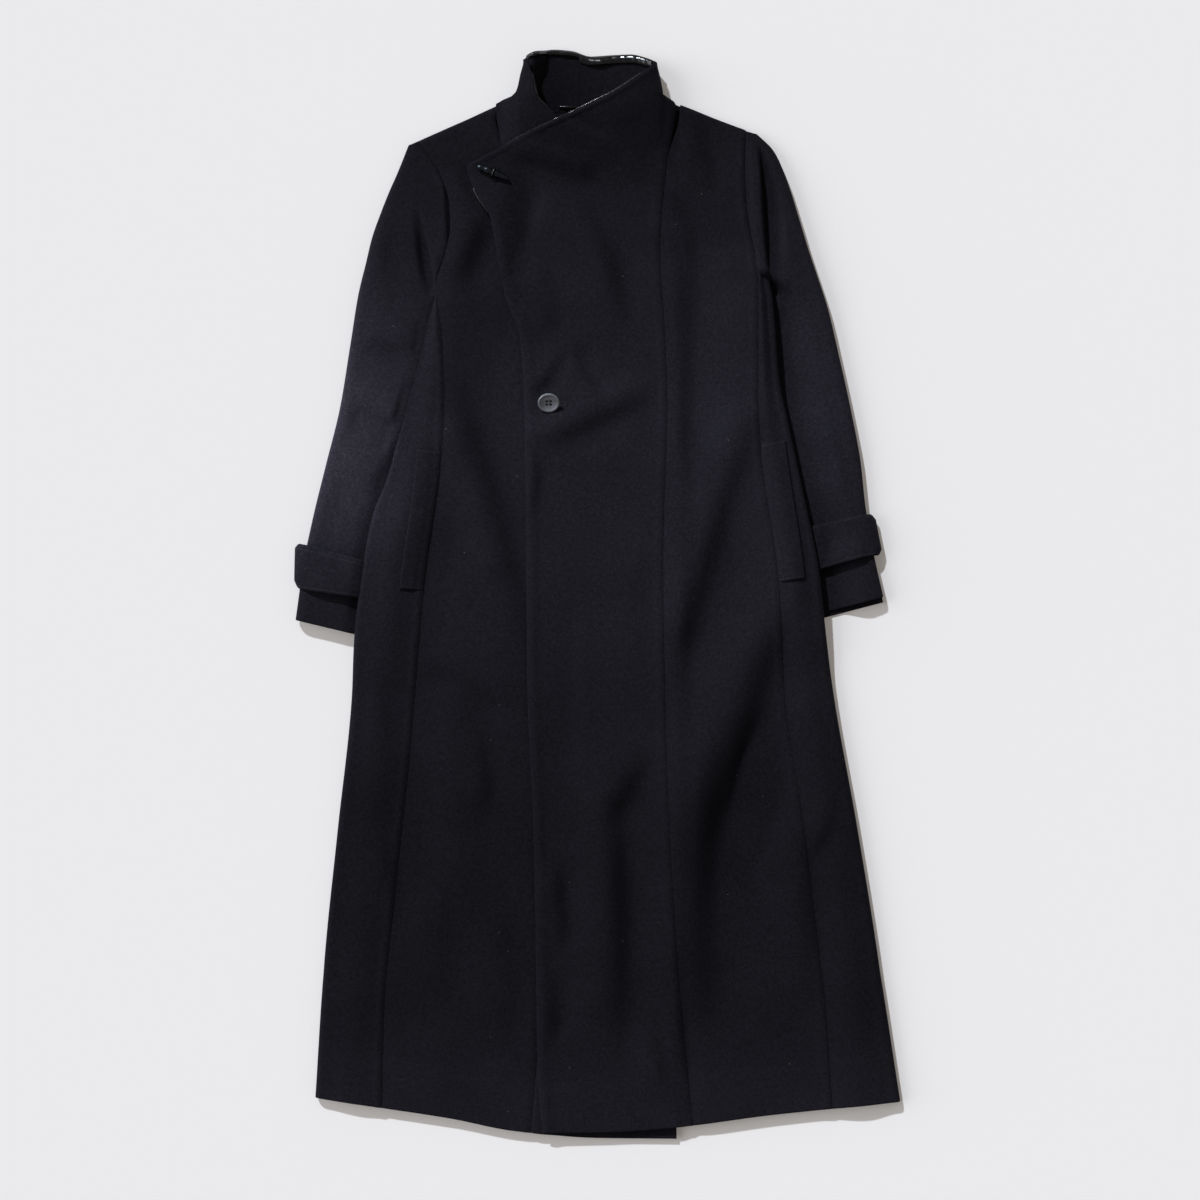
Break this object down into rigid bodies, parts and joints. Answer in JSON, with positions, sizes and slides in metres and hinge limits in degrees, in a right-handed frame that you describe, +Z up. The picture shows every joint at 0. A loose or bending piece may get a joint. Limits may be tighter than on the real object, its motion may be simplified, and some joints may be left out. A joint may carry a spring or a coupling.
{
  "type": "wrap coat",
  "caption": "Long wool wrap coat with a tall collar, leather-edged lapel, welt pockets and strapped cuffs, laid flat on its back and closed with a button and a toggle.",
  "frame": {"origin": "middle of the coat's outline, on the surface that it lies on", "axes": "+Y towards the collar, +Z up from the surface, +X towards the side of the front that lies on top"},
  "size_m": [0.7278, 1.3052, 0.0423],
  "materials": {
    "wool": "brushed black wool with a short nap",
    "leather": "glossy black",
    "horn": "polished black"
  },
  "bodies": {
    "root": {"back_left": "wool", "back_right": "wool", "side_left": "wool", "side_right": "wool", "over_front_centre": "wool", "over_front_side": "wool", "under_front_centre": "wool", "under_front_side": "wool", "sleeve_upper_left": "wool", "sleeve_upper_right": "wool", "sleeve_under_left": "wool", "sleeve_under_right": "wool", "cuff_strap_left": "wool", "cuff_strap_right": "wool", "welt_left": "wool", "welt_right": "wool", "collar_back_left": "wool", "collar_back_right": "wool", "binding_back_left": "leather", "binding_back_right": "leather", "binding_over_collar": "leather", "binding_under_collar": "leather", "binding_front_edge": "leather", "hanger_loop": "leather", "toggle_loop": "leather", "toggle": "horn", "button": "horn"}
  },
  "joints": []
}
